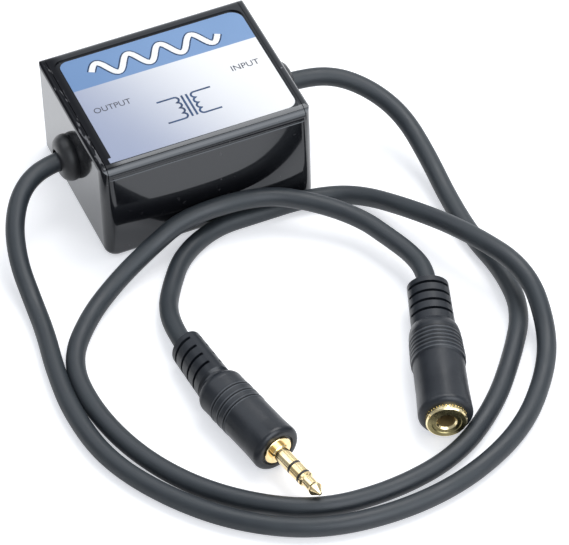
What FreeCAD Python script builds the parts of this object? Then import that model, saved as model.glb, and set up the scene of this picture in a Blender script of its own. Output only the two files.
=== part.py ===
import FreeCAD, Part
import math
import os

os.makedirs("parts", exist_ok=True)

Vec = FreeCAD.Vector
up = Vec(0, 0, 1)

# Case: a moulded tub with full height end walls and a saddle lid between them
caseLength = 50.0
caseWidth = 41.5
caseHeight = 26.5
cornerRadius = 2.8
footRadius = 1.6
crownRadius = 2.6
endEdgeRadius = 1.1
wallThick = 2.0
floorThick = 2.0
rimThick = 1.5
lidThick = 2.0
lidEndGap = 0.15
seamHeight = caseHeight - crownRadius - 0.2
seamGroove = 0.3
lipThick = 1.0
lipDepth = 2.0
lipGap = 0.1

# Label, by its gaps from the case's sides, and its recess in the lid
labelLeft = 3.8 - caseLength / 2
labelRight = caseLength / 2 - 2.35
labelFront = 2.65 - caseWidth / 2
labelBack = caseWidth / 2 - 4.15
labelThick = 0.2
labelTab = 0.8
labelTabDepth = 1.6
recessDepth = 0.35
recessLeft = labelLeft - 1.1
recessRight = labelRight + 0.35
recessFront = labelFront - 0.2
recessBack = labelBack + 0.8

# Cord and the rubber grommets that bring it through the end walls
cordRadius = 2.15
cordSeat = 0.05
outputY = 0.0
outputZ = 14.0
inputY = 1.0
inputZ = 15.2
neckRadius = 3.6
neckGap = 0.05
headRadius = 5.45
headLength = 3.5
headRound = 2.5
mouthRadius = 2.6
mouthDepth = 1.6
flangeRadius = 4.6
flangeThick = 1.0

# Circuit board on four moulded posts
boardEndGap = 3.0
boardSideGap = 2.75
boardLength = caseLength - 2 * (wallThick + boardEndGap)
boardWidth = caseWidth - 2 * (wallThick + boardSideGap)
boardThick = 1.6
boardZ = 6.0
postInset = 3.0
postX = boardLength / 2 - postInset
postY = boardWidth / 2 - postInset
postRadius = 2.4
pegRadius = 1.0
pegGap = 0.1
pegProud = 0.6
boardTop = boardZ + boardThick

# Two small audio transformers, one for each channel
coreX = 8.5
coreLegWidth = 4.0
coreWindow = 3.6
coreLeg = 2.0
coreYoke = 2.0
coreDepth = 5.0
flangeWide = 11.0
flangeDeep = 12.4
flangeHigh = 1.0
spoolHigh = 6.4
tubeWall = 0.6
coilWall = 2.0
fitGap = 0.1
pinRadius = 0.35
pinHoleGap = 0.15
pinBelow = 1.6
pinPitch = 3.8
pinInset = 1.0

# Lead wires from the cord ends to the board
wireRadius = 0.5
padPitch = 4.6
padX = boardLength / 2 - 1.6
cordInner = caseLength / 2 - wallThick - 1.0
cordStraight = caseLength / 2 + 5.2
wireRun = 1.4
groundRun = 2.1

# Plug moulding: a barrel that lies level, and a boot that the cord has pulled aside
plugZ = 5.65
plugHeading = 12.4
plugEnd = Vec(-14.7, -93.3, plugZ)
plugNeck = 23.2
plugBarrel = 5.6
plugWaist = 5.42
plugShoulder = 5.4
plugNeckRadius = 4.2
plugBoot = 14.3
plugBootHeading = 4.2
plugBootTilt = 4.45
plugGrooves = (16.8, 14.6, 12.5)

# Jack moulding, measured from the cord end along its axis
jackZ = 6.1
jackHeading = -18.6
jackEnd = Vec(21.2, -99.85, jackZ)
jackLength = 39.2
jackBarrel = 5.95
jackWaist = 5.65
jackShoulder = 5.72
ridgeFirst = 17.25
ridgeCount = 5
ridgePitch = 1.17

# Strain relief slots shared by both mouldings
bootEnd = 12.8
bootStart = 4.4
bootFull = 4.75
bootFlat = 0.95
slotCount = 4
slotWidth = 0.75
slotFirst = 2.2
plugSlotPitch = 3.05
jackSlotPitch = 2.7
slotCore = 3.4
slotRib = 2.4
plugRibTurn = 20.0
jackRibTurn = 88.0

# Three contact plug shaft
shaftRadius = 1.75
discRadius = 3.3
discSunk = 1.0
discProud = 0.2
collarRadius = 2.1
collarLength = 1.2
sleeveLength = 4.6
bandLong = 0.65
ringLength = 2.6
tipLength = 5.7
tipRing = 0.5
tipNeck = 1.35
tipHead = 1.55
bandRadius = 1.75
rearCore = 1.25
frontCore = 0.95
tipCore = 0.5

# Jack bushing, its insulator and the two contact springs
bushRadius = 3.6
bushFlange = 4.45
bushProud = 1.5
bushSeat = 2.5
bushBore = 1.8
bushCone = 2.25
knurlCount = 40
knurlRadius = 0.12
holderLength = 12.4
holderBore = 1.85
holderSlot = 3.0
springWide = 1.2
springThick = 0.25

# Cord routes, centre line points from inside the case to the connector
outputRoute = [
    (-cordInner, outputY, outputZ), (-cordStraight, outputY, outputZ), (-37.9, -3.5, 13.2),
    (-43.0, -10.3, 10.2), (-45.3, -18.6, 6.0), (-45.6, -28.0, 2.6),
    (-46.4, -38.0, 2.15), (-48.8, -48.5, 2.15), (-49.9, -62.0, 2.15),
    (-47.7, -77.5, 2.15), (-40.3, -92.2, 2.15), (-28.8, -106.6, 2.15),
    (-13.8, -117.2, 2.15), (3.2, -118.8, 2.15), (19.7, -114.2, 2.15),
    (34.2, -104.4, 2.15), (44.7, -93.0, 2.15), (53.1, -83.0, 3.6),
    (54.0, -71.0, 10.75), (46.8, -55.4, 10.75), (40.0, -40.4, 6.4),
    (31.6, -28.4, 2.6), (21.8, -23.4, 2.15), (10.0, -23.3, 2.15),
    (-0.5, -23.4, 2.15), (-10.4, -28.2, 2.15), (-17.1, -36.2, 2.3),
    (-20.7, -43.2, 3.3),
]
inputRoute = [
    (cordInner, inputY, inputZ), (cordStraight, inputY, inputZ), (38.4, -1.0, 14.9),
    (45.2, -6.2, 12.4), (49.8, -13.8, 9.0), (50.9, -24.6, 5.4),
    (50.6, -37.0, 2.6), (49.5, -50.0, 2.15), (49.8, -62.0, 2.15),
    (48.0, -74.4, 2.15), (41.2, -84.4, 2.15), (32.3, -96.7, 2.15),
    (20.3, -108.2, 2.15), (4.0, -113.0, 2.15), (-11.4, -112.5, 2.15),
    (-24.7, -103.0, 2.15), (-35.3, -90.2, 2.15), (-42.2, -76.3, 2.15),
    (-45.0, -61.0, 2.15), (-43.9, -48.0, 2.15), (-36.0, -37.2, 2.15),
    (-26.6, -30.8, 3.8), (-17.3, -28.0, 7.4), (-7.8, -25.2, 10.75),
    (10.2, -25.7, 10.75), (20.9, -31.2, 8.6), (28.6, -38.0, 6.6),
    (32.6, -44.6, 5.95), (35.35, -52.3, 5.95),
]
lastRunPlug = 5.4
lastRunJack = 4.5


def save(shape, node):
    shape.exportStep("parts/" + node + ".step")
    print(node, "solids", len(shape.Solids), "volume", round(shape.Volume, 2))


def box(x0, x1, y0, y1, z0, z1):
    return Part.makeBox(x1 - x0, y1 - y0, z1 - z0, Vec(x0, y0, z0))


def rod(radius, length, base, axis):
    return Part.makeCylinder(radius, length, base, axis)


def face_of(edges):
    return Part.Face(Part.Wire(edges))


def rounded_plate(x0, x1, y0, y1, z0, z1, radii):
    # Corner radii run front left, front right, back right, back left
    corners = [(x0, y0), (x1, y0), (x1, y1), (x0, y1)]
    steps = [(1, 0), (0, 1), (-1, 0), (0, -1)]
    points = []
    for i, (cx, cy) in enumerate(corners):
        r = radii[i]
        before = steps[i - 1]
        after = steps[i]
        start = Vec(cx - before[0] * r, cy - before[1] * r, z0)
        end = Vec(cx + after[0] * r, cy + after[1] * r, z0)
        bend = r * (1 - math.sqrt(0.5))
        middle = Vec(cx + (after[0] - before[0]) * bend,
                     cy + (after[1] - before[1]) * bend, z0)
        points.append((start, middle, end, r))
    edges = []
    for i, (start, middle, end, r) in enumerate(points):
        last = points[i - 1][2]
        if last.distanceToPoint(start) > 1e-6:
            edges.append(Part.LineSegment(last, start).toShape())
        if r > 0:
            edges.append(Part.Arc(start, middle, end).toShape())
    return face_of(edges).extrude(Vec(0, 0, z1 - z0))


def revolve(profile, base, axis):
    # The profile holds (along, radius) pairs; a third item makes an arc through that point
    axis = Vec(axis).normalize()
    side = axis.cross(up)
    if side.Length < 1e-6:
        side = Vec(1, 0, 0)
    side.normalize()

    def place(along, radius):
        return base + axis * along + side * radius

    edges = []
    previous = place(*profile[0][:2])
    for item in profile[1:] + [profile[0]]:
        here = place(*item[:2])
        if len(item) == 3:
            middle = place(*item[2])
            edges.append(Part.Arc(previous, middle, here).toShape())
        elif previous.distanceToPoint(here) > 1e-6:
            edges.append(Part.LineSegment(previous, here).toShape())
        previous = here
    return face_of(edges).revolve(base, axis, 360)


def tube(route, radius, name):
    # Straight runs joined by tangent arcs, swept with a round section
    points = [Vec(*p) for p in route]
    edges = []
    last = points[0]
    tightest = 1e9
    for i in range(1, len(points) - 1):
        into = points[i] - points[i - 1]
        away = points[i + 1] - points[i]
        reach = 0.45 * min(into.Length, away.Length)
        into.normalize()
        away.normalize()
        half = into.getAngle(away) / 2
        bend = reach / math.tan(half)
        tightest = min(tightest, bend)
        start = points[i] - into * reach
        end = points[i] + away * reach
        inward = (away - into).normalize()
        middle = points[i] + inward * (bend / math.cos(half) - bend)
        edges.append(Part.LineSegment(last, start).toShape())
        edges.append(Part.Arc(start, middle, end).toShape())
        last = end
    edges.append(Part.LineSegment(last, points[-1]).toShape())
    path = Part.Wire(edges)
    first = points[1] - points[0]
    ring = Part.Wire([Part.Circle(points[0], first, radius).toShape()])
    shape = path.makePipeShell([ring], True, False)
    expected = math.pi * radius * radius * path.Length
    print(name, "length", round(path.Length, 1), "tightest bend", round(tightest, 2),
          "volume ratio", round(shape.Volume / expected, 4))
    return shape


def heading_axis(heading, tilt=0):
    turn = math.radians(heading)
    rise = math.radians(tilt)
    return Vec(math.sin(turn) * math.cos(rise), -math.cos(turn) * math.cos(rise), math.sin(rise))


def outer_body():
    halfL = caseLength / 2
    halfW = caseWidth / 2
    body = rounded_plate(-halfL, halfL, -halfW, halfW, 0, caseHeight, [cornerRadius] * 4)
    foot = [e for e in body.Edges if e.BoundBox.ZMax < 1e-6]
    body = body.makeFillet(footRadius, foot)
    # Round the front and back of the crown, then the two end edges of the flat top
    for half, radius, across in ((halfW, crownRadius, True), (halfL, endEdgeRadius, False)):
        flat = half - radius
        bend = radius * math.sqrt(0.5)
        low = caseHeight - radius
        corners = [(-half, -1), (half, -1), (half, low), (flat, caseHeight),
                   (-flat, caseHeight), (-half, low)]
        arcs = {3: (flat + bend, low + bend), 5: (-flat - bend, low + bend)}

        def place(u, w):
            if across:
                return Vec(-halfL - 1, u, w)
            return Vec(u, -halfW - 1, w)

        edges = []
        for i, (u, w) in enumerate(corners):
            start = place(*corners[i - 1])
            end = place(u, w)
            if i in arcs:
                edges.append(Part.Arc(start, place(*arcs[i]), end).toShape())
            else:
                edges.append(Part.LineSegment(start, end).toShape())
        run = Vec(caseLength + 2, 0, 0) if across else Vec(0, caseWidth + 2, 0)
        body = body.common(face_of(edges).extrude(run))
    # Fine groove along the front and back seam
    for side in (-1, 1):
        y = side * halfW
        rimX = halfL - rimThick
        corners = [Vec(-rimX, y + side * 0.1, seamHeight - seamGroove),
                   Vec(-rimX, y + side * 0.1, seamHeight + seamGroove),
                   Vec(-rimX, y - side * seamGroove, seamHeight)]
        body = body.cut(face_of(Part.makePolygon(corners + corners[:1]).Edges)
                        .extrude(Vec(2 * rimX, 0, 0)))
    return body


def end_wall_hole(side, y, z):
    base = Vec(side * (caseLength / 2 - wallThick - 1), y, z)
    return rod(neckRadius + neckGap, wallThick + 2, base, Vec(side, 0, 0))


def case_tub(body):
    inL = caseLength / 2 - wallThick
    inW = caseWidth / 2 - wallThick
    rimX = caseLength / 2 - rimThick
    ledge = caseHeight - lidThick
    far = caseLength
    tub = body.cut(rounded_plate(-inL, inL, -inW, inW, floorThick, caseHeight + 1, [0.8] * 4))
    tub = tub.cut(box(-rimX, rimX, -far, far, ledge, caseHeight + 1))
    for y0, y1 in ((-far, -inW), (inW, far)):
        tub = tub.cut(box(-rimX, rimX, y0, y1, seamHeight, ledge + 0.5))
    tub = tub.cut(end_wall_hole(-1, outputY, outputZ))
    tub = tub.cut(end_wall_hole(1, inputY, inputZ))
    for sx in (-1, 1):
        for sy in (-1, 1):
            foot = Vec(sx * postX, sy * postY, floorThick - 0.5)
            tub = tub.fuse(rod(postRadius, boardZ - foot.z, foot, up))
            tub = tub.fuse(rod(pegRadius, boardTop + pegProud - foot.z, foot, up))
    return tub.removeSplitter()


def case_lid(body):
    inW = caseWidth / 2 - wallThick
    rimX = caseLength / 2 - rimThick - lidEndGap
    ledge = caseHeight - lidThick
    far = caseLength
    lid = body.common(box(-rimX, rimX, -far, far, seamHeight, caseHeight + 1))
    lid = lid.cut(box(-far, far, -inW, inW, 0, ledge))
    lipEnd = caseLength / 2 - wallThick - 0.5
    for side in (-1, 1):
        outerY = side * (inW - lipGap)
        innerY = side * (inW - lipGap - lipThick)
        y0, y1 = sorted((outerY, innerY))
        lid = lid.fuse(box(-lipEnd, lipEnd, y0, y1, seamHeight - lipDepth, ledge + 0.5))
    lid = lid.cut(rounded_plate(recessLeft, recessRight, recessFront, recessBack,
                                caseHeight - recessDepth, caseHeight + 1, [0.6, 2.6, 3.2, 2.2]))
    return lid.removeSplitter()


def face_label():
    z0 = caseHeight - recessDepth
    sheet = rounded_plate(labelLeft, labelRight, labelFront, labelBack, z0, z0 + labelThick,
                          [0, 2.4, 3.0, 2.0])
    tab = box(labelLeft - labelTab, labelLeft + 1, labelFront, labelFront + labelTabDepth,
              z0, z0 + labelThick)
    return sheet.fuse(tab).removeSplitter()


def grommet(side, y, z):
    base = Vec(side * caseLength / 2, y, z)
    inner = -wallThick
    back = inner - flangeThick
    bore = cordRadius + cordSeat
    top = headRadius - headRound
    start = math.sqrt(headRound ** 2 - 1.0)
    bend = headRound * math.sqrt(0.5)
    mouth = headLength - mouthDepth
    profile = [
        (back, bore), (back, flangeRadius - 0.4), (back + 0.4, flangeRadius),
        (inner, flangeRadius), (inner, neckRadius), (0, neckRadius), (0, top + start),
        (headLength, top, (1.0 + bend, top + bend)),
        (headLength, mouthRadius), (mouth, mouthRadius), (mouth, bore),
    ]
    return revolve(profile, base, Vec(side, 0, 0))


def circuit_board():
    halfL = boardLength / 2
    halfW = boardWidth / 2
    board = rounded_plate(-halfL, halfL, -halfW, halfW, boardZ, boardTop, [1.0] * 4)
    holes = []
    for sx in (-1, 1):
        for sy in (-1, 1):
            spot = Vec(sx * postX, sy * postY, boardZ - 1)
            holes.append(rod(pegRadius + pegGap, boardThick + 2, spot, up))
    for x, y in pin_places(-coreX) + pin_places(coreX):
        holes.append(rod(pinRadius + pinHoleGap, boardThick + 2, Vec(x, y, boardZ - 1), up))
    return board.cut(Part.makeCompound(holes))


def pin_places(cx):
    y = flangeDeep / 2 - pinInset
    return [(cx + dx, s * y) for s in (-1, 1) for dx in (-pinPitch, 0, pinPitch)]


def core(cx):
    half = coreLegWidth / 2 + coreWindow + coreLeg
    low = boardTop
    high = low + 2 * coreYoke + 2 * flangeHigh + spoolHigh
    block = box(cx - half, cx + half, -coreDepth / 2, coreDepth / 2, low, high)
    for side in (-1, 1):
        a = cx + side * coreLegWidth / 2
        b = cx + side * (coreLegWidth / 2 + coreWindow)
        x0, x1 = sorted((a, b))
        block = block.cut(box(x0, x1, -coreDepth, coreDepth, low + coreYoke, high - coreYoke))
    return block


def bobbin(cx):
    low = boardTop + coreYoke
    high = low + 2 * flangeHigh + spoolHigh
    inX = coreLegWidth / 2 + fitGap
    inY = coreDepth / 2 + fitGap
    outX = inX + tubeWall
    outY = inY + tubeWall
    fX = flangeWide / 2
    fY = flangeDeep / 2
    shape = box(cx - outX, cx + outX, -outY, outY, low, high)
    for z in (low, high - flangeHigh):
        shape = shape.fuse(box(cx - fX, cx + fX, -fY, fY, z, z + flangeHigh))
    shape = shape.cut(box(cx - inX, cx + inX, -inY, inY, low - 1, high + 1))
    return shape.removeSplitter()


def winding(cx):
    low = boardTop + coreYoke + flangeHigh
    inX = coreLegWidth / 2 + fitGap + tubeWall
    inY = coreDepth / 2 + fitGap + tubeWall
    outX = inX + coilWall
    outY = inY + coilWall
    ring = rounded_plate(cx - outX, cx + outX, -outY, outY, low, low + spoolHigh, [1.8] * 4)
    return ring.cut(box(cx - inX, cx + inX, -inY, inY, low - 1, low + spoolHigh + 1))


def pins(cx):
    top = boardTop + coreYoke
    length = top - boardZ + pinBelow
    rods = []
    for x, y in pin_places(cx):
        rods.append(rod(pinRadius, length, Vec(x, y, top - length), up))
    return Part.makeCompound(rods)


def lead_wires(side, y, z):
    # Each wire leaves the cord end, bends over and stands on its pad
    spread = [(-0.95, -0.55), (0.95, -0.55), (0.0, 1.0)]
    wires = []
    for i, (dy, dz) in enumerate(spread):
        order = (-1, 1, 0)[i]
        padY = y + order * padPitch
        x0 = side * cordInner
        x1 = side * (cordInner - (wireRun if order else groundRun))
        route = [(x0, y + dy, z + dz), (x1, y + dy, z + dz),
                 (side * (padX + 0.2), y + (dy + order * padPitch) / 2, boardTop + 3.6),
                 (side * padX, padY, boardTop + 1.9), (side * padX, padY, boardTop)]
        wires.append(tube(route, wireRadius, "wire"))
    return wires


def slotted_boot(base, axis, ribTurn, slotPitch, stations):
    # An oval boot, slotted on its two flatter sides, with a rib left on each narrow one
    turn = math.radians(ribTurn)
    side = up.cross(axis).normalize()
    ribLine = up * math.cos(turn) + side * math.sin(turn)
    ribLine = (ribLine - axis * ribLine.dot(axis)).normalize()
    ribSide = ribLine.cross(axis)

    def oval(along, wide, high):
        centre = base + axis * along
        ring = Part.Ellipse(centre + ribLine * wide, centre + ribSide * high, centre)
        return Part.Wire([ring.toShape()])

    boot = None
    for rings, ruled in stations:
        part = Part.makeLoft([oval(*ring) for ring in rings], True, ruled)
        boot = boot.fuse(part) if boot else part
    reach = 2 * bootFull
    for i in range(slotCount):
        along = slotFirst + i * slotPitch - slotWidth / 2
        start = base + axis * along
        heart = Part.Face(oval(along, slotCore, slotCore - bootFlat)).extrude(axis * slotWidth)
        corner = start - ribLine * reach - ribSide * (slotRib / 2)
        loop = Part.makePolygon([corner, corner + ribSide * slotRib,
                                 corner + ribSide * slotRib + ribLine * 2 * reach,
                                 corner + ribLine * 2 * reach, corner])
        rib = Part.Face(Part.Wire(loop.Edges)).extrude(axis * slotWidth)
        boot = boot.cut(rod(bootFull + 2, slotWidth, start, axis).cut(heart).cut(rib))
    return boot


def plug_body():
    axis = heading_axis(plugHeading)
    neck = plugEnd - axis * plugNeck
    last = plugNeck - 1.2
    profile = [(0, 0), (0, plugNeckRadius), (0.6, plugNeckRadius),
               (2.9, plugShoulder, (1.3, plugShoulder - 0.35))]
    for back in plugGrooves:
        along = plugNeck - back
        profile += [(along - 0.55, plugShoulder), (along - 0.4, plugShoulder + 0.1),
                    (along - 0.25, plugShoulder + 0.1), (along, plugShoulder - 0.25),
                    (along + 0.25, plugShoulder + 0.1), (along + 0.4, plugShoulder + 0.1),
                    (along + 0.55, plugShoulder)]
    profile += [(along + 1.5, plugWaist), (last - 3.5, plugWaist), (last, plugBarrel),
                (plugNeck, plugBarrel - 1.2, (plugNeck - 0.351, plugBarrel - 0.351)),
                (plugNeck, discRadius + 0.6), (plugNeck - 0.4, discRadius + 0.35),
                (plugNeck - 0.4, discRadius), (plugNeck - discSunk, discRadius),
                (plugNeck - discSunk, 0)]
    barrel = revolve(profile, neck, axis)
    bootAxis = heading_axis(plugBootHeading, plugBootTilt)
    start = neck - bootAxis * plugBoot
    rim = plugBoot - 0.5
    flat = bootFull - bootFlat
    rings = [(0, bootStart - 0.4, bootStart - bootFlat - 0.4), (0.4, bootStart, bootStart - bootFlat),
             (rim, bootFull, flat), (plugBoot, bootFull - 0.5, flat - 0.5),
             (plugBoot + 0.9, plugNeckRadius - 0.2, flat - 0.6)]
    boot = slotted_boot(start, bootAxis, plugRibTurn, plugSlotPitch, [(rings, True)])
    return barrel.fuse(boot).removeSplitter()


def plug_contacts():
    axis = heading_axis(plugHeading)
    base = plugEnd
    back = -discSunk
    shaft = collarLength
    band1 = shaft + sleeveLength
    ring = band1 + bandLong
    band2 = ring + ringLength
    tip = band2 + bandLong
    apex = tip + tipLength
    sleeve = revolve([
        (back, rearCore), (back, discRadius), (discProud - 0.1, discRadius),
        (discProud, discRadius - 0.1), (discProud, collarRadius),
        (shaft - 0.2, collarRadius), (shaft, collarRadius - 0.2), (shaft, shaftRadius),
        (band1, shaftRadius), (band1, rearCore)], base, axis)
    rear = revolve([
        (back, frontCore), (back, rearCore), (band1, rearCore), (band1, bandRadius),
        (ring, bandRadius), (ring, frontCore)], base, axis)
    ringShape = revolve([
        (ring, frontCore), (ring, shaftRadius), (band2, shaftRadius), (band2, frontCore)],
        base, axis)
    front = revolve([
        (back, tipCore), (back, frontCore), (band2, frontCore), (band2, bandRadius),
        (tip, bandRadius), (tip, tipCore)], base, axis)
    tipShape = revolve([
        (back, 0), (back, tipCore), (tip, tipCore), (tip, shaftRadius),
        (tip + tipRing, shaftRadius), (tip + tipRing + 0.25, tipNeck),
        (tip + tipRing + 2.6, tipNeck), (tip + tipRing + 3.1, tipHead),
        (tip + tipRing + 3.5, tipHead), (apex - 0.35, 0.5), (apex, 0.25, (apex - 0.1, 0.42)),
        (apex, 0)], base, axis)
    return sleeve, rear, ringShape, front, tipShape


def jack_body():
    axis = heading_axis(jackHeading)
    base = jackEnd - axis * jackLength
    last = jackLength - 1.3
    inner = jackLength - bushSeat
    deep = inner - holderLength
    full = bootFull + 0.1
    flat = full - bootFlat
    rings = [(0, bootStart - 0.2, bootStart - bootFlat - 0.2), (0.4, bootStart + 0.2, flat - 0.25),
             (bootEnd, full, flat)]
    swell = [(bootEnd, full, flat), (bootEnd + 1.3, jackShoulder - 0.35, jackShoulder - 0.9),
             (ridgeFirst - 1.2, jackShoulder - 0.06, jackShoulder - 0.08)]
    profile = [(ridgeFirst - 1.2, 0), (ridgeFirst - 1.2, jackShoulder)]
    for i in range(ridgeCount):
        along = ridgeFirst + i * ridgePitch
        profile += [(along, jackShoulder + 0.05 * i), (along + 0.3, jackShoulder + 0.05 * i + 0.13),
                    (along + 0.55, jackShoulder + 0.05 * i + 0.13),
                    (along + 0.85, jackShoulder + 0.05 * i)]
    proud = jackShoulder + 0.05 * ridgeCount
    profile += [(along + ridgePitch, proud), (along + ridgePitch + 0.6, proud),
                (along + ridgePitch + 0.9, jackWaist), (last - 6.0, jackWaist + 0.08),
                (last, jackBarrel),
                (jackLength, jackBarrel - 1.3, (jackLength - 0.381, jackBarrel - 0.381)),
                (jackLength, bushRadius), (deep, bushRadius), (deep, 0)]
    boot = slotted_boot(base, axis, jackRibTurn, jackSlotPitch, [(rings, True), (swell, False)])
    return revolve(profile, base, axis).fuse(boot).removeSplitter()


def jack_inside():
    axis = heading_axis(jackHeading)
    base = jackEnd
    cone = bushCone - bushBore
    bushing = revolve([
        (-bushSeat, bushBore), (-bushSeat, bushRadius), (0, bushRadius),
        (0, bushFlange), (bushProud - 0.25, bushFlange), (bushProud, bushFlange - 0.25),
        (bushProud, bushFlange - 1.2), (bushProud - 0.15, bushFlange - 1.35),
        (bushProud - 0.15, bushCone), (bushProud - 0.15 - cone, bushBore)], base, axis)
    across = axis.cross(up).normalize()
    cuts = []
    for i in range(knurlCount):
        turn = 2 * math.pi * i / knurlCount
        spoke = across * math.cos(turn) + up * math.sin(turn)
        spot = base + spoke * (bushFlange + 0.02) + axis * 0.3
        cuts.append(rod(knurlRadius, 0.8, spot, axis))
    bushing = bushing.cut(Part.makeCompound(cuts))
    deep = -bushSeat - holderLength
    holder = revolve([
        (deep, 0), (deep, bushRadius), (-bushSeat, bushRadius), (-bushSeat, holderBore),
        (deep + 1.0, holderBore), (deep + 1.0, 0)], base, axis)
    springs = []
    for side, bump in ((1, -11.4), (-1, -6.0)):
        root = deep + 1.6
        end = bump + 2.2
        if end > -bushSeat - 0.4:
            end = -bushSeat - 0.4

        def place(along, height):
            return base + axis * along + up * (side * height) - across * (springWide / 2)

        t = springThick
        outline = [(root, holderSlot), (root, holderSlot - t), (root + 1.2, holderSlot - t),
                   (bump - 0.3, 1.9), (bump + 0.3, 1.9), (end, 2.3), (end, 2.3 + t),
                   (bump + 0.3, 1.9 + t), (bump - 0.3, 1.9 + t), (root + 1.2, holderSlot)]
        corners = [place(*p) for p in outline]
        loop = Part.makePolygon(corners + corners[:1])
        springs.append(Part.Face(Part.Wire(loop.Edges)).extrude(across * springWide))
        slotWide = springWide + 0.3
        slot = [place(root - 0.2, 0), place(-bushSeat - 0.2, 0),
                place(-bushSeat - 0.2, holderSlot), place(root - 0.2, holderSlot)]
        slot = [p - across * 0.15 for p in slot]
        loop = Part.makePolygon(slot + slot[:1])
        holder = holder.cut(Part.Face(Part.Wire(loop.Edges)).extrude(across * slotWide))
    return bushing, holder, springs


body = outer_body()
save(case_tub(body), "case_tub")
save(case_lid(body), "case_lid")
save(face_label(), "face_label")
save(grommet(-1, outputY, outputZ), "output_grommet")
save(grommet(1, inputY, inputZ), "input_grommet")
save(circuit_board(), "circuit_board")

for label, cx in (("left", -coreX), ("right", coreX)):
    save(core(cx), label + "_core")
    save(bobbin(cx), label + "_bobbin")
    save(winding(cx), label + "_winding")
    save(pins(cx), label + "_pins")

for end, side, y, z in (("output", -1, outputY, outputZ), ("input", 1, inputY, inputZ)):
    for role, wire in zip(("left", "right", "ground"), lead_wires(side, y, z)):
        save(wire, end + "_wire_" + role)

plugAxis = heading_axis(plugBootHeading, plugBootTilt)
plugStart = plugEnd - heading_axis(plugHeading) * plugNeck - plugAxis * plugBoot
jackAxis = heading_axis(jackHeading)
jackStart = jackEnd - jackAxis * jackLength
outputLine = outputRoute + [tuple(plugStart - plugAxis * lastRunPlug), tuple(plugStart)]
inputLine = inputRoute + [tuple(jackStart - jackAxis * lastRunJack), tuple(jackStart)]
save(tube(outputLine, cordRadius, "output cord"), "output_cord")
save(tube(inputLine, cordRadius, "input cord"), "input_cord")

save(plug_body(), "plug_body")
contactNames = ("plug_sleeve", "plug_insulator_rear", "plug_ring", "plug_insulator_front",
                "plug_tip")
for node, shape in zip(contactNames, plug_contacts()):
    save(shape, node)

save(jack_body(), "jack_body")
bushing, holder, springs = jack_inside()
save(bushing, "jack_bushing")
save(holder, "jack_insulator")
save(springs[0], "jack_tip_spring")
save(springs[1], "jack_ring_spring")
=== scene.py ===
import bpy
import math
from mathutils import Matrix, Vector


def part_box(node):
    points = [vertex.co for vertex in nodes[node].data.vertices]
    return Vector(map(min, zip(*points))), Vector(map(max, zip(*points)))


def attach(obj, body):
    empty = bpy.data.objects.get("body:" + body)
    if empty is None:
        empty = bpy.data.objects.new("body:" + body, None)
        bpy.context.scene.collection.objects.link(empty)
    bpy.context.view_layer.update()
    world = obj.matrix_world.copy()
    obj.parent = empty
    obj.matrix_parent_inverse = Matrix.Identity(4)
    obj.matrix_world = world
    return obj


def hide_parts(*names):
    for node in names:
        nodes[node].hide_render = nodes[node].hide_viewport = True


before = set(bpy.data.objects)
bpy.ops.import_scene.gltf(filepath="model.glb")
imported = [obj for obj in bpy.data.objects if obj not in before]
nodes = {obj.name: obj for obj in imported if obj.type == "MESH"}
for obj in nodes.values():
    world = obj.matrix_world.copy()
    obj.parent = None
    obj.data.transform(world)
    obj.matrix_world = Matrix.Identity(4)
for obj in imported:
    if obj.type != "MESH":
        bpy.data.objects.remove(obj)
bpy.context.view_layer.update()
mm = 0.001
print("frame loaded:", len(nodes), "nodes")


# Helpers for node trees
def addNode(tree, kind, **settings):
    node = tree.nodes.new(kind)
    for key, value in settings.items():
        setattr(node, key, value)
    return node


def setInputs(node, **values):
    for key, value in values.items():
        node.inputs[key.replace("_", " ")].default_value = value
    return node


def feed(tree, socket, value):
    if isinstance(value, bpy.types.NodeSocket):
        tree.links.new(value, socket)
    else:
        socket.default_value = value


def newMaterial(name, **values):
    mat = bpy.data.materials.new(name)
    mat.use_nodes = True
    shader = mat.node_tree.nodes["Principled BSDF"]
    setInputs(shader, **values)
    return mat, mat.node_tree, shader


def newGroup(name, inputs, outputs):
    group = bpy.data.node_groups.new(name, "ShaderNodeTree")
    for label, value in inputs:
        socket = group.interface.new_socket(name=label, in_out="INPUT",
                                            socket_type="NodeSocketFloat")
        socket.default_value = value
    for label in outputs:
        group.interface.new_socket(name=label, in_out="OUTPUT", socket_type="NodeSocketFloat")
    return group, group.nodes.new("NodeGroupInput"), group.nodes.new("NodeGroupOutput")


def useGroup(tree, group, **values):
    return setInputs(addNode(tree, "ShaderNodeGroup", node_tree=group), **values)


def calc(tree, operation, first, second=0.0):
    node = addNode(tree, "ShaderNodeMath", operation=operation)
    feed(tree, node.inputs[0], first)
    feed(tree, node.inputs[1], second)
    return node.outputs[0]


def ramp(tree, source, low, high, fromValue=0.0, toValue=1.0, smooth=True):
    node = addNode(tree, "ShaderNodeMapRange")
    node.interpolation_type = "SMOOTHSTEP" if smooth else "LINEAR"
    for socket, value in zip(node.inputs, (source, low, high, fromValue, toValue)):
        feed(tree, socket, value)
    return node.outputs["Result"]


def mixColour(tree, factor, first, second):
    node = addNode(tree, "ShaderNodeMix", data_type="RGBA")
    for index, value in ((0, factor), (6, first), (7, second)):
        feed(tree, node.inputs[index], value)
    return node.outputs[2]


def objectPoint(tree, stretch=(1, 1, 1), turn=(0, 0, 0)):
    point = addNode(tree, "ShaderNodeTexCoord").outputs["Object"]
    node = addNode(tree, "ShaderNodeMapping")
    node.inputs["Scale"].default_value = stretch
    node.inputs["Rotation"].default_value = turn
    tree.links.new(point, node.inputs["Vector"])
    return node.outputs[0]


def pointParts(tree):
    # X, Y and Z of the point on the object
    parts = addNode(tree, "ShaderNodeSeparateXYZ")
    tree.links.new(objectPoint(tree), parts.inputs[0])
    return parts.outputs


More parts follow.
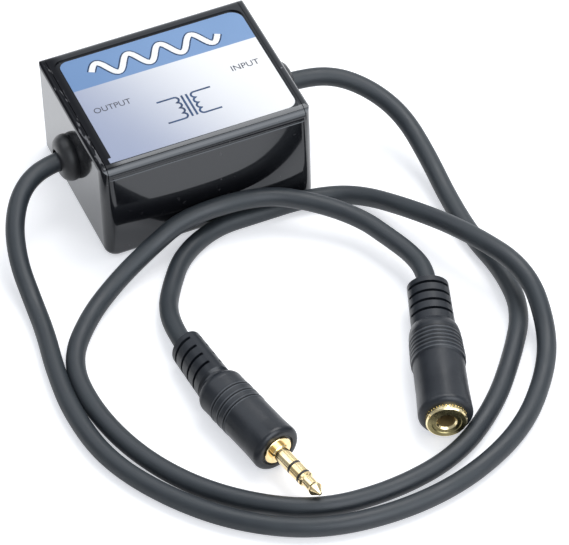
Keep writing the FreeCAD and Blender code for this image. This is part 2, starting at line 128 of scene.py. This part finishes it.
def noise(tree, point, scale, detail=2.0, roughness=0.5):
    node = addNode(tree, "ShaderNodeTexNoise")
    for key, value in (("Vector", point), ("Scale", scale), ("Detail", detail),
                       ("Roughness", roughness)):
        feed(tree, node.inputs[key], value)
    return node.outputs["Fac"]


def bumpFrom(tree, shader, height, distance):
    node = addNode(tree, "ShaderNodeBump")
    node.inputs["Distance"].default_value = distance
    tree.links.new(height, node.inputs["Height"])
    tree.links.new(node.outputs["Normal"], shader.inputs["Normal"])


# Shared surface effects: each gives masks and heights over the surface
def makeGrain():
    # Fine moulded skin: a height for the bump and a slow change of tone
    group, start, end = newGroup("mouldedGrain", [("Size", 3000.0), ("Patch", 150.0)],
                                 ["Height", "Tone"])
    point = objectPoint(group)
    group.links.new(noise(group, point, start.outputs["Size"], 3.0, 0.6), end.inputs["Height"])
    group.links.new(noise(group, point, start.outputs["Patch"], 2.0), end.inputs["Tone"])
    return group


def makeScuffs():
    # Short fine scratches in two directions, in patches
    group, start, end = newGroup("scuffs", [("Size", 900.0), ("Coverage", 0.3)], ["Mask"])
    edge = calc(group, "SUBTRACT", 0.8, calc(group, "MULTIPLY", start.outputs["Coverage"], 0.3))
    edgeTop = calc(group, "ADD", edge, 0.04)
    total = None
    for turn, stretch in ((0.5, (1, 0.06, 1)), (-0.9, (1, 0.05, 0.6))):
        point = objectPoint(group, stretch, (0.2, 0.1, turn))
        lines = ramp(group, noise(group, point, start.outputs["Size"], 1.0), edge, edgeTop)
        total = lines if total is None else calc(group, "MAXIMUM", total, lines)
    patch = ramp(group, noise(group, objectPoint(group), 120.0, 2.0), 0.42, 0.62)
    group.links.new(calc(group, "MULTIPLY", total, patch), end.inputs["Mask"])
    return group


def makeDust():
    # Sparse round specks
    group, start, end = newGroup("dustSpecks", [("Size", 900.0), ("Coverage", 0.2)], ["Mask"])
    cells = addNode(group, "ShaderNodeTexVoronoi")
    group.links.new(objectPoint(group), cells.inputs["Vector"])
    group.links.new(start.outputs["Size"], cells.inputs["Scale"])
    parts = addNode(group, "ShaderNodeSeparateColor")
    group.links.new(cells.outputs["Color"], parts.inputs[0])
    chosen = calc(group, "LESS_THAN", parts.outputs[0], start.outputs["Coverage"])
    radius = ramp(group, parts.outputs[1], 0.0, 1.0, 0.03, 0.12, smooth=False)
    inside = calc(group, "LESS_THAN", cells.outputs["Distance"], radius)
    group.links.new(calc(group, "MULTIPLY", chosen, inside), end.inputs["Mask"])
    return group


grain = makeGrain()
scuffs = makeScuffs()
dust = makeDust()


# Finishes
def glossBlack():
    look = dict(black=(0.009, 0.0095, 0.012, 1), paleMarks=(0.16, 0.16, 0.17, 1),
                rimLow=24.6, rimHigh=25.6, rimOuter=-23.6, rimInner=-22.9,
                quietLow=25.9, quietHigh=26.2, quietOuter=-22.5, quietInner=-19,
                rimMarkLow=0.60, rimMarkHigh=0.68)
    mat, tree, shader = newMaterial("glossBlack", Coat_Roughness=0.03,
                                    Specular_Tint=(0.91, 0.95, 1.0, 1))
    marks = useGroup(tree, scuffs, Size=700.0, Coverage=0.25).outputs["Mask"]
    specks = useGroup(tree, dust, Size=420.0, Coverage=0.10).outputs["Mask"]
    both = calc(tree, "MAXIMUM", calc(tree, "MULTIPLY", marks, 0.25), specks)
    # The rim beside the lid at the output end gets short pale marks along it
    parts = pointParts(tree)
    rim = calc(tree, "MULTIPLY",
               ramp(tree, parts["Z"], look["rimLow"] * mm, look["rimHigh"] * mm),
               ramp(tree, parts["X"], look["rimOuter"] * mm, look["rimInner"] * mm, 1.0, 0.0))
    rimMarks = ramp(tree, noise(tree, objectPoint(tree, (1, 0.22, 1)), 1300.0, 2.0),
                 look["rimMarkLow"], look["rimMarkHigh"])
    both = calc(tree, "MAXIMUM", both, calc(tree, "MULTIPLY", rimMarks, rim))
    # Scuffs, specks and the rim's pale marks share one pale colour
    tree.links.new(mixColour(tree, both, look["black"], look["paleMarks"]),
                   shader.inputs["Base Color"])
    # The top is less shiny beside the label's output edge
    quiet = calc(tree, "MULTIPLY",
                 ramp(tree, parts["Z"], look["quietLow"] * mm, look["quietHigh"] * mm),
                 ramp(tree, parts["X"], look["quietOuter"] * mm, look["quietInner"] * mm,
                      1.0, 0.0))
    tree.links.new(ramp(tree, quiet, 0, 1, 0.5, 0.1, smooth=False),
                   shader.inputs["Specular IOR Level"])
    tree.links.new(ramp(tree, quiet, 0, 1, 0.25, 0.0, smooth=False),
                   shader.inputs["Coat Weight"])
    rough = calc(tree, "ADD", calc(tree, "MULTIPLY", both, 0.35), 0.085)
    tree.links.new(rough, shader.inputs["Roughness"])
    skin = useGroup(tree, grain, Size=45.0, Patch=60.0)
    bumpFrom(tree, shader, skin.outputs["Height"], 0.00006)
    return mat


def rubber(name, colour, pale, size, depth, roughness=0.45):
    # Soft vinyl and rubber: fine skin, faint pale bloom and a few specks
    mat, tree, shader = newMaterial(name)
    skin = useGroup(tree, grain, Size=size, Patch=110.0)
    tone = ramp(tree, skin.outputs["Tone"], 0.35, 0.7, 0.0, 0.6)
    specks = useGroup(tree, dust, Size=600.0, Coverage=0.06).outputs["Mask"]
    factor = calc(tree, "MAXIMUM", tone, specks)
    tree.links.new(mixColour(tree, factor, colour, pale), shader.inputs["Base Color"])
    rough = ramp(tree, skin.outputs["Tone"], 0.3, 0.7, roughness - 0.06, roughness + 0.06)
    tree.links.new(rough, shader.inputs["Roughness"])
    bumpFrom(tree, shader, skin.outputs["Height"], depth)
    return mat


def ringLines(tree, along, places, half, soft):
    # One band round the axis at each place, in mm from the connector's mouth
    total = None
    for place in places:
        away = calc(tree, "ABSOLUTE", calc(tree, "SUBTRACT", along, place * mm))
        line = ramp(tree, away, (half - soft) * mm, (half + soft) * mm, 1.0, 0.0)
        total = line if total is None else calc(tree, "MAXIMUM", total, line)
    return total


# Connector mouths in mm and headings in degrees, as in the CAD
plugMouth = dict(end=(-14.7, -93.3, 5.65), heading=12.4)
jackMouth = dict(end=(21.2, -99.85, 6.1), heading=-18.6)


def fromMouth(tree, mouth):
    # The point measured from a mouth, and the direction back along the connector
    offset = addNode(tree, "ShaderNodeVectorMath", operation="SUBTRACT")
    tree.links.new(objectPoint(tree), offset.inputs[0])
    offset.inputs[1].default_value = Vector(mouth["end"]) * mm
    heading = math.radians(mouth["heading"])
    return offset.outputs[0], (-math.sin(heading), math.cos(heading), 0)


def connector(name, mouth, crests, valleys):
    # Moulded vinyl, with a painted highlight on the rings' crests and painted shade in their
    # valleys
    look = dict(half=0.16, paleSoft=0.07, darkSoft=0.08, pale=0.6, dark=0.9)
    mat = rubber(name, (0.012, 0.015, 0.021, 1), (0.025, 0.029, 0.036, 1), 1500.0, 0.00002, 0.38)
    tree, shader = mat.node_tree, mat.node_tree.nodes["Principled BSDF"]
    shader.inputs["Specular IOR Level"].default_value = 0.4
    colour = shader.inputs["Base Color"].links[0].from_socket
    offset, backward = fromMouth(tree, mouth)
    back = addNode(tree, "ShaderNodeVectorMath", operation="DOT_PRODUCT")
    tree.links.new(offset, back.inputs[0])
    back.inputs[1].default_value = backward
    along = back.outputs["Value"]
    # Pale lines are a painted highlight on the crests, dark lines painted shade in the valleys
    pale = calc(tree, "MULTIPLY",
                ringLines(tree, along, crests, look["half"], look["paleSoft"]), look["pale"])
    dark = calc(tree, "MULTIPLY",
                ringLines(tree, along, valleys, look["half"], look["darkSoft"]), look["dark"])
    # Painted highlight colour on the crests, then painted shade colour in the valleys
    colour = mixColour(tree, pale, colour, (0.11, 0.12, 0.135, 1))
    tree.links.new(mixColour(tree, dark, colour, (0.004, 0.004, 0.005, 1)),
                   shader.inputs["Base Color"])
    return mat


def goldPlate():
    mat, tree, shader = newMaterial("goldPlate", Metallic=1.0)
    skin = useGroup(tree, grain, Size=1400.0, Patch=500.0)
    tone = ramp(tree, skin.outputs["Tone"], 0.35, 0.7)
    tree.links.new(mixColour(tree, tone, (0.90, 0.69, 0.36, 1), (0.97, 0.81, 0.50, 1)),
                   shader.inputs["Base Color"])
    rough = ramp(tree, skin.outputs["Height"], 0.3, 0.7, 0.10, 0.2)
    tree.links.new(rough, shader.inputs["Roughness"])
    bumpFrom(tree, shader, skin.outputs["Height"], 0.000004)
    return mat


def bushingGold():
    # Bright rim and mouth with a darker olive face between them, by the distance from the axis;
    # the face's darker olive is a painted dark reflection
    look = dict(mouth=2.3, rim=4.12, soft=0.1, boreWall=1.84, boreEdge=1.92)
    mat, tree, shader = newMaterial("bushingGold")
    offset, backward = fromMouth(tree, jackMouth)
    across = addNode(tree, "ShaderNodeVectorMath", operation="CROSS_PRODUCT")
    tree.links.new(offset, across.inputs[0])
    across.inputs[1].default_value = backward
    away = addNode(tree, "ShaderNodeVectorMath", operation="LENGTH")
    tree.links.new(across.outputs[0], away.inputs[0])
    radius, soft = away.outputs["Value"], look["soft"]
    face = calc(tree, "MULTIPLY",
                ramp(tree, radius, (look["mouth"] - soft) * mm, (look["mouth"] + soft) * mm),
                ramp(tree, radius, (look["rim"] - soft) * mm, (look["rim"] + soft) * mm, 1, 0))
    skin = useGroup(tree, grain, Size=1400.0, Patch=500.0)
    tone = ramp(tree, skin.outputs["Tone"], 0.35, 0.7)
    bright = mixColour(tree, tone, (0.80, 0.66, 0.36, 1), (0.92, 0.80, 0.50, 1))
    # Painted dark reflection on the face: a darker olive than the gold
    paintedDarkReflection = mixColour(tree, tone, (0.21, 0.18, 0.085, 1), (0.30, 0.26, 0.13, 1))
    # The bore's wall is brown and dull
    inside = ramp(tree, radius, look["boreWall"] * mm, look["boreEdge"] * mm, 1.0, 0.0)
    colour = mixColour(tree, face, bright, paintedDarkReflection)
    tree.links.new(mixColour(tree, inside, colour, (0.30, 0.22, 0.10, 1)),
                   shader.inputs["Base Color"])
    tree.links.new(ramp(tree, inside, 0, 1, 1.0, 0.0, smooth=False), shader.inputs["Metallic"])
    rough = ramp(tree, skin.outputs["Height"], 0.3, 0.7, 0.14, 0.24)
    tree.links.new(calc(tree, "ADD", rough, calc(tree, "MULTIPLY", face, 0.1)),
                   shader.inputs["Roughness"])
    bumpFrom(tree, shader, skin.outputs["Height"], 0.000004)
    return mat


def plainPlastic(name, colour, pale, roughness=0.4, metallic=0.0):
    mat, tree, shader = newMaterial(name, Metallic=metallic)
    skin = useGroup(tree, grain, Size=2500.0, Patch=260.0)
    tone = ramp(tree, skin.outputs["Tone"], 0.3, 0.7)
    tree.links.new(mixColour(tree, tone, colour, pale), shader.inputs["Base Color"])
    tree.links.new(ramp(tree, skin.outputs["Height"], 0.3, 0.7, roughness - 0.05,
                        roughness + 0.05), shader.inputs["Roughness"])
    bumpFrom(tree, shader, skin.outputs["Height"], 0.00001)
    return mat


def labelPrint():
    # Blue band along the back, and a field that goes from lavender to white
    look = dict(border=6.5 * mm, edge=0.05 * mm, slant=0.45, fadeFrom=-27, fadeTo=17,
                bandLeft=(0.135, 0.26, 0.50, 1), bandRight=(0.19, 0.33, 0.585, 1),
                fieldLeft=(0.335, 0.38, 0.525, 1), fieldRight=(0.95, 0.955, 0.965, 1))
    mat, tree, shader = newMaterial("labelPrint", Coat_Weight=0.35, Coat_Roughness=0.12)
    parts = pointParts(tree)
    x, y = parts["X"], parts["Y"]
    across = ramp(tree, calc(tree, "ADD", x, calc(tree, "MULTIPLY", y, look["slant"])),
                  look["fadeFrom"] * mm, look["fadeTo"] * mm)
    band = mixColour(tree, across, look["bandLeft"], look["bandRight"])
    field = mixColour(tree, across, look["fieldLeft"], look["fieldRight"])
    inBand = ramp(tree, y, look["border"] - look["edge"], look["border"] + look["edge"])
    skin = useGroup(tree, grain, Size=2600.0, Patch=90.0)
    colour = mixColour(tree, inBand, field, band)
    tree.links.new(colour, shader.inputs["Base Color"])
    tree.links.new(ramp(tree, skin.outputs["Tone"], 0.3, 0.7, 0.3, 0.4),
                   shader.inputs["Roughness"])
    bumpFrom(tree, shader, skin.outputs["Height"], 0.000003)
    return mat


def circuitGreen():
    mat, tree, shader = newMaterial("circuitGreen")
    tracks = addNode(tree, "ShaderNodeTexBrick", offset=0.5)
    tree.links.new(objectPoint(tree), tracks.inputs["Vector"])
    setInputs(tracks, Scale=110.0, Mortar_Size=0.09, Brick_Width=0.9, Row_Height=0.35,
              Color1=(0.012, 0.10, 0.045, 1), Color2=(0.014, 0.12, 0.05, 1),
              Mortar=(0.03, 0.20, 0.09, 1))
    tree.links.new(tracks.outputs["Color"], shader.inputs["Base Color"])
    skin = useGroup(tree, grain, Size=1800.0, Patch=200.0)
    tree.links.new(ramp(tree, skin.outputs["Tone"], 0.3, 0.7, 0.25, 0.4),
                   shader.inputs["Roughness"])
    bumpFrom(tree, shader, tracks.outputs["Fac"], 0.00003)
    return mat


def stackedSteel():
    # Sheet edges show as fine lines across the stack
    mat, tree, shader = newMaterial("stackedSteel", Metallic=1.0, Roughness=0.42)
    wave = addNode(tree, "ShaderNodeTexWave", bands_direction="Y")
    tree.links.new(objectPoint(tree), wave.inputs["Vector"])
    setInputs(wave, Scale=560.0, Distortion=0.4)
    tree.links.new(mixColour(tree, wave.outputs["Fac"], (0.10, 0.10, 0.11, 1),
                             (0.34, 0.34, 0.35, 1)), shader.inputs["Base Color"])
    bumpFrom(tree, shader, wave.outputs["Fac"], 0.00004)
    return mat


def tapeAmber():
    mat, tree, shader = newMaterial("tapeAmber", Coat_Weight=0.4, Coat_Roughness=0.15)
    wave = addNode(tree, "ShaderNodeTexWave", bands_direction="Z")
    tree.links.new(objectPoint(tree), wave.inputs["Vector"])
    setInputs(wave, Scale=160.0, Distortion=1.5, Detail=2.0)
    tree.links.new(mixColour(tree, wave.outputs["Fac"], (0.55, 0.30, 0.035, 1),
                             (0.72, 0.45, 0.08, 1)), shader.inputs["Base Color"])
    bumpFrom(tree, shader, wave.outputs["Fac"], 0.00005)
    return mat


def twistedCopper():
    mat, tree, shader = newMaterial("twistedCopper", Metallic=1.0, Roughness=0.32)
    wave = addNode(tree, "ShaderNodeTexWave", bands_direction="DIAGONAL")
    tree.links.new(objectPoint(tree), wave.inputs["Vector"])
    setInputs(wave, Scale=700.0)
    tree.links.new(mixColour(tree, wave.outputs["Fac"], (0.45, 0.18, 0.08, 1),
                             (0.86, 0.47, 0.27, 1)), shader.inputs["Base Color"])
    bumpFrom(tree, shader, wave.outputs["Fac"], 0.00006)
    return mat


caseBlack = glossBlack()
grommetRubber = rubber("grommetRubber", (0.012, 0.013, 0.015, 1), (0.03, 0.031, 0.034, 1),
                       2600.0, 0.00002, 0.42)
cordJacket = rubber("cordJacket", (0.023, 0.029, 0.036, 1), (0.034, 0.042, 0.049, 1),
                    2200.0, 0.000012, 0.5)
grooves = (16.8, 14.6, 12.5)
plugVinyl = connector("plugVinyl", plugMouth,
                      [place + side * 0.33 for place in grooves for side in (-1, 1)], grooves)
ridges = [21.52 - 1.17 * i for i in range(5)]
jackVinyl = connector("jackVinyl", jackMouth, ridges + [15.8],
                      [place + 0.58 for place in ridges])
gold = goldPlate()
print("materials made:", len(bpy.data.materials))


# CAD nodes and their finishes
def dressNode(name, mat):
    mesh = nodes[name].data
    mesh.materials.clear()
    mesh.materials.append(mat)


def dressNodes():
    bandBlack = plainPlastic("bandBlack", (0.012, 0.011, 0.010, 1), (0.03, 0.027, 0.022, 1))
    nylon = plainPlastic("nylon", (0.62, 0.60, 0.55, 1), (0.74, 0.72, 0.67, 1), 0.45)
    tin = plainPlastic("tin", (0.62, 0.62, 0.61, 1), (0.78, 0.78, 0.77, 1), 0.25, metallic=1.0)
    white = plainPlastic("wireWhite", (0.66, 0.66, 0.63, 1), (0.8, 0.8, 0.77, 1))
    red = plainPlastic("wireRed", (0.42, 0.02, 0.015, 1), (0.55, 0.04, 0.03, 1))
    brown = plainPlastic("socketBrown", (0.085, 0.06, 0.03, 1), (0.14, 0.10, 0.055, 1))
    finishes = {
        "case_tub": caseBlack, "case_lid": caseBlack, "face_label": labelPrint(),
        "output_grommet": grommetRubber, "input_grommet": grommetRubber,
        "circuit_board": circuitGreen(), "plug_body": plugVinyl,
        "jack_body": jackVinyl, "jack_insulator": brown, "plug_insulator_rear": bandBlack,
        "plug_insulator_front": bandBlack, "plug_sleeve": gold, "plug_ring": gold,
        "plug_tip": gold, "jack_bushing": bushingGold(), "jack_tip_spring": gold,
        "jack_ring_spring": gold, "output_cord": cordJacket, "input_cord": cordJacket,
    }
    steel, amber, copper = stackedSteel(), tapeAmber(), twistedCopper()
    for side in ("left_", "right_"):
        finishes.update({side + "core": steel, side + "bobbin": nylon,
                         side + "winding": amber, side + "pins": tin})
    for end in ("output_", "input_"):
        finishes.update({end + "wire_left": white, end + "wire_right": red,
                         end + "wire_ground": copper})
    for name, mat in finishes.items():
        dressNode(name, mat)
    missing = sorted(set(nodes) - set(finishes))
    print("nodes dressed:", len(finishes), "left out:", missing)


dressNodes()


# Cords: the routes' points are the control points of smooth splines. They follow the
# photograph, and the CAD's tubes lie up to 3.1 mm from them
outputCord = dict(
    radius=2.15, exit=(-28.5, 0.0, 14.0), length=364.6, node="output_cord",
    carries=["plug_body", "plug_sleeve", "plug_insulator_rear", "plug_ring",
             "plug_insulator_front", "plug_tip"], end="plug",
    route=[
        (-22.0, 0.0, 14.0), (-30.2, 0.0, 14.0), (-37.9, -3.5, 13.2),
        (-43.0, -10.3, 10.2), (-45.3, -18.6, 6.0), (-45.6, -28.0, 2.6),
        (-46.4, -38.0, 2.15), (-48.3, -48.5, 2.15), (-49.5, -61.8, 2.15),
        (-47.7, -77.5, 2.15), (-40.3, -92.2, 2.15), (-29.2, -105.3, 2.15),
        (-14.5, -114.4, 2.15), (3.0, -116.8, 2.15), (20.0, -114.3, 2.15),
        (36.0, -106.4, 2.15), (47.3, -94.0, 2.15), (53.1, -83.0, 3.6),
        (53.7, -71.1, 10.75), (46.8, -55.4, 10.75), (39.9, -39.4, 6.4),
        (32.5, -26.6, 2.6), (22.0, -22.95, 2.15), (10.1, -22.95, 2.15),
        (-0.4, -22.95, 2.15), (-10.4, -28.2, 2.15), (-16.5, -36.8, 2.3),
        (-19.9, -43.5, 3.3), (-21.0, -51.0, 4.1), (-20.73, -56.42, 4.54),
    ])
inputCord = dict(
    radius=2.15, exit=(28.5, 1.0, 15.2), length=360.2, node="input_cord",
    carries=["jack_body", "jack_bushing", "jack_insulator", "jack_tip_spring",
             "jack_ring_spring"], end="connector",
    route=[
        (22.0, 1.0, 15.2), (30.2, 1.0, 15.2), (38.4, -1.0, 14.9),
        (45.2, -6.2, 12.4), (49.8, -13.8, 9.0), (50.9, -24.6, 5.4),
        (50.6, -37.0, 2.6), (50.6, -50.0, 2.15), (52.3, -62.0, 2.15),
        (50.9, -74.4, 2.15), (43.7, -85.4, 2.15), (33.5, -97.8, 2.15),
        (20.4, -107.4, 2.15), (4.0, -110.8, 2.15), (-12.0, -109.4, 2.15),
        (-25.0, -101.4, 2.15), (-35.3, -90.2, 2.15), (-42.2, -76.3, 2.15),
        (-45.3, -61.1, 2.15), (-44.2, -47.8, 2.15), (-36.0, -37.2, 2.15),
        (-26.4, -30.4, 3.4), (-16.9, -26.7, 6.3), (-7.0, -23.15, 8.5),
        (11.0, -23.6, 8.5), (21.4, -29.8, 7.2), (28.8, -37.5, 6.2),
        (31.9, -44.7, 5.95), (34.6, -52.1, 5.95), (35.14, -58.43, 6.1),
        (33.70, -62.70, 6.1),
    ])


def layCord(name, cord):
    curve = bpy.data.curves.new(name, "CURVE")
    curve.dimensions = "3D"
    curve.bevel_depth = cord["radius"] * mm
    curve.bevel_resolution = 7
    curve.resolution_u = 12
    curve.use_fill_caps = True
    spline = curve.splines.new("NURBS")
    spline.points.add(len(cord["route"]) - 1)
    for point, place in zip(spline.points, cord["route"]):
        point.co = (*(Vector(place) * mm), 1)
    spline.order_u = 3
    spline.use_endpoint_u = True
    piece = bpy.data.objects.new(name, curve)
    bpy.context.scene.collection.objects.link(piece)
    curve.materials.append(cordJacket)
    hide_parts(cord["node"])
    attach(piece, "root")


layCord("outputCord", outputCord)
layCord("inputCord", inputCord)
print("cords laid")


# Print on the label
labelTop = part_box("face_label")[1].z
printThick = 0.02
printInk = plainPlastic("printInk", (0.045, 0.048, 0.07, 1), (0.075, 0.08, 0.11, 1))
printWhite = plainPlastic("printWhite", (0.94, 0.95, 0.96, 1), (0.985, 0.99, 0.99, 1), 0.35)
printBlue = plainPlastic("printBlue", (0.012, 0.035, 0.10, 1), (0.025, 0.075, 0.19, 1), 0.35)


def finishPrint(piece, mat, lift):
    # Flatten the mesh onto the label and hand it to the frame
    mesh = piece.data
    top = labelTop + lift * mm
    heights = [v.co.z for v in mesh.vertices]
    low, high = min(heights), max(heights)
    for v in mesh.vertices:
        v.co.z = top + (v.co.z - low) / (high - low) * printThick * mm
    mesh.materials.clear()
    mesh.materials.append(mat)
    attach(piece, "root")


def makeMesh(piece):
    bpy.ops.object.select_all(action="DESELECT")
    bpy.context.view_layer.objects.active = piece
    piece.select_set(True)
    bpy.ops.object.convert(target="MESH")
    bpy.ops.object.transform_apply(location=True, rotation=True, scale=True)
    return bpy.context.view_layer.objects.active


def addWord(name, body, centre, width, height):
    bpy.ops.object.text_add(location=(centre[0] * mm, centre[1] * mm, 0))
    piece = bpy.context.active_object
    piece.name = name
    piece.data.body = body
    piece.data.align_x = "CENTER"
    piece.data.align_y = "CENTER"
    # Any height will do here, because finishPrint sets the real one
    piece.data.extrude = 0.5
    bpy.context.view_layer.update()
    size = piece.dimensions
    piece.scale = (width * mm / size.x, height * mm / size.y, 0.0001)
    finishPrint(makeMesh(piece), printInk, 0.005)


words = dict(output=("OUTPUT", (-15.0, -1.3), 8.7, 1.7), input=("INPUT", (16.9, -1.15), 6.6, 1.7))
for side, (body, centre, width, height) in words.items():
    addWord(side + "Word", body, centre, width, height)


def drawLine(name, points, width, mat, lift):
    curve = bpy.data.curves.new(name, "CURVE")
    curve.dimensions = "3D"
    curve.bevel_depth = width / 2 * mm
    curve.bevel_resolution = 3
    curve.use_fill_caps = True
    spline = curve.splines.new("POLY")
    spline.points.add(len(points) - 1)
    for point, (x, y) in zip(spline.points, points):
        point.co = (x * mm, y * mm, 0, 1)
    piece = bpy.data.objects.new(name, curve)
    bpy.context.scene.collection.objects.link(piece)
    finishPrint(makeMesh(piece), mat, lift)


def waveLine():
    # A plain audio wave, white with a dark outline
    look = dict(left=-15.2, right=15.2, middle=11.0, height=2.35, waves=4, steps=220,
                line=1.45, outline=2.05)
    points = []
    for i in range(look["steps"] + 1):
        t = i / look["steps"]
        x = look["left"] + (look["right"] - look["left"]) * t
        points.append((x, look["middle"]
                       + look["height"] * math.sin(2 * math.pi * look["waves"] * t)))
    drawLine("waveOutline", points, look["outline"], printBlue, 0.003)
    drawLine("waveLine", points, look["line"], printWhite, 0.012)


def coilSymbol():
    # Two facing coils with the bars of a core between them
    look = dict(x=0.7, y=-8.0, turns=4, turnRadius=0.9, turnSteps=12, gap=2.4, bar=0.55,
                lead=4.0, line=0.5)
    half = look["turns"] * look["turnRadius"]
    for side in (-1, 1):
        points = [(look["x"] + side * (look["gap"] + look["lead"]), look["y"] + half),
                  (look["x"] + side * look["gap"], look["y"] + half)]
        for turn in range(look["turns"]):
            centreY = look["y"] + half - look["turnRadius"] * (2 * turn + 1)
            for step in range(1, look["turnSteps"] + 1):
                angle = math.pi * step / look["turnSteps"]
                points.append((look["x"] + side * (look["gap"] - look["turnRadius"]
                                                   * math.sin(angle)),
                               centreY + look["turnRadius"] * math.cos(angle)))
        points.append((look["x"] + side * (look["gap"] + look["lead"]), look["y"] - half))
        drawLine("coil" + ("Left" if side < 0 else "Right"), points, look["line"], printBlue,
                 0.005)
        barX = look["x"] + side * look["bar"]
        drawLine("coreBar" + ("Left" if side < 0 else "Right"),
                 [(barX, look["y"] - half), (barX, look["y"] + half)], look["line"], printBlue,
                 0.005)


waveLine()
coilSymbol()
print("label printed")


# Stage, light and camera
def buildStage():
    look = dict(seen=0.56, mirrored=0.68, paintedShadowDepth=0.55, nearX=-26, farX=-24, nearY=-22, farY=22)
    bpy.ops.object.select_all(action="DESELECT")
    bpy.ops.mesh.primitive_plane_add(size=6.0, location=(0, 0, -0.00003))
    floor = bpy.context.active_object
    floor.name = "floor"
    mat, tree, shader = newMaterial("paleFloor", Base_Color=(0.8, 0.8, 0.8, 1), Roughness=0.9)
    shader.inputs["Emission Color"].default_value = (0.94, 0.955, 1.0, 1)
    light = addNode(tree, "ShaderNodeLightPath")
    seen = calc(tree, "MAXIMUM", light.outputs["Is Camera Ray"],
                light.outputs["Is Transmission Ray"])
    # Reflections see a bright floor, with a painted shadow on it close beside the output end wall
    parts = pointParts(tree)
    # Painted shadow on the floor as seen in reflections, deepest toward the front beside the
    # output end wall
    paintedShadow = calc(tree, "MULTIPLY",
                  ramp(tree, parts["X"], look["nearX"] * mm, look["farX"] * mm, 1, 0),
                  ramp(tree, parts["Y"], look["nearY"] * mm, look["farY"] * mm,
                       look["paintedShadowDepth"], 0))
    mirrored = ramp(tree, paintedShadow, 0, 1, look["mirrored"], 0.0, smooth=False)
    glow = calc(tree, "ADD", calc(tree, "MULTIPLY", seen, look["seen"]),
                calc(tree, "MULTIPLY", light.outputs["Is Glossy Ray"], mirrored))
    tree.links.new(glow, shader.inputs["Emission Strength"])
    floor.data.materials.append(mat)


def buildWorld():
    # Even room light, but reflections see soft boxes in front and behind
    look = dict(room=0.48, seen=1.0, front=0.5, backLeft=0.35, backRight=0.95)
    boxes = [dict(towards=(0.22, -0.73, 0.647), edge=0.80, full=0.93, strength=3.0),
             dict(towards=(-0.36, 0.44, 0.82), edge=0.89, full=0.95, strength=1.7)]
    world = bpy.data.worlds.new("studio")
    bpy.context.scene.world = world
    world.use_nodes = True
    tree = world.node_tree
    back = tree.nodes["Background"]
    back.inputs["Color"].default_value = (0.90, 0.945, 1.0, 1)
    direction = addNode(tree, "ShaderNodeTexCoord").outputs["Generated"]
    parts = addNode(tree, "ShaderNodeSeparateXYZ")
    tree.links.new(direction, parts.inputs[0])
    behind = ramp(tree, parts.outputs["X"], -0.2, 0.25, look["backLeft"], look["backRight"])
    mirrored = ramp(tree, parts.outputs["Y"], -0.1, 0.5, look["front"], behind)
    for box in boxes:
        facing = addNode(tree, "ShaderNodeVectorMath", operation="DOT_PRODUCT")
        tree.links.new(direction, facing.inputs[0])
        facing.inputs[1].default_value = box["towards"]
        mirrored = calc(tree, "ADD", mirrored, ramp(tree, facing.outputs["Value"], box["edge"],
                                                    box["full"], 0.0, box["strength"]))
    light = addNode(tree, "ShaderNodeLightPath")
    glossy = ramp(tree, light.outputs["Is Glossy Ray"], 0, 1, look["room"], mirrored,
                  smooth=False)
    tree.links.new(ramp(tree, light.outputs["Is Camera Ray"], 0, 1, glossy, look["seen"],
                        smooth=False), back.inputs["Strength"])


def addLamp(name, place, size, power):
    lamp = bpy.data.lights.new(name, "AREA")
    lamp.shape = "RECTANGLE"
    lamp.size, lamp.size_y = size
    lamp.energy = power
    piece = bpy.data.objects.new(name, lamp)
    bpy.context.scene.collection.objects.link(piece)
    aim = Vector((0.0, -0.05, 0.0)) - Vector(place)
    piece.location = place
    piece.rotation_euler = aim.to_track_quat("-Z", "Y").to_euler()


def addCamera():
    look = dict(heading=21.384, height=45.577, roll=-2.24, distance=931.758,
                right=24.115, above=-23.661, lens=259.42)
    heading, height = math.radians(look["heading"]), math.radians(look["height"])
    back = Vector((-math.sin(heading) * math.cos(height),
                   -math.cos(heading) * math.cos(height), math.sin(height)))
    right = Vector((math.cos(heading), -math.sin(heading), 0))
    turn = Matrix.Rotation(math.radians(look["roll"]), 3, back)
    right = turn @ right
    above = back.cross(right)
    place = (right * look["right"] + above * look["above"] + back * look["distance"]) * mm
    camera = bpy.data.cameras.new("camera")
    camera.lens = look["lens"]
    camera.clip_end = 10
    piece = bpy.data.objects.new("camera", camera)
    bpy.context.scene.collection.objects.link(piece)
    piece.matrix_world = Matrix.Translation(place) @ Matrix(
        (right, above, back)).transposed().to_4x4()
    bpy.context.scene.camera = piece


buildStage()
buildWorld()
addLamp("keyLamp", (0.40, 0.20, 0.95), (0.7, 0.7), 7.1)
addLamp("fillLamp", (0.2, -0.8, 0.75), (0.7, 0.5), 1.6)
addCamera()
bpy.context.scene.view_settings.view_transform = "Standard"
print("stage set")
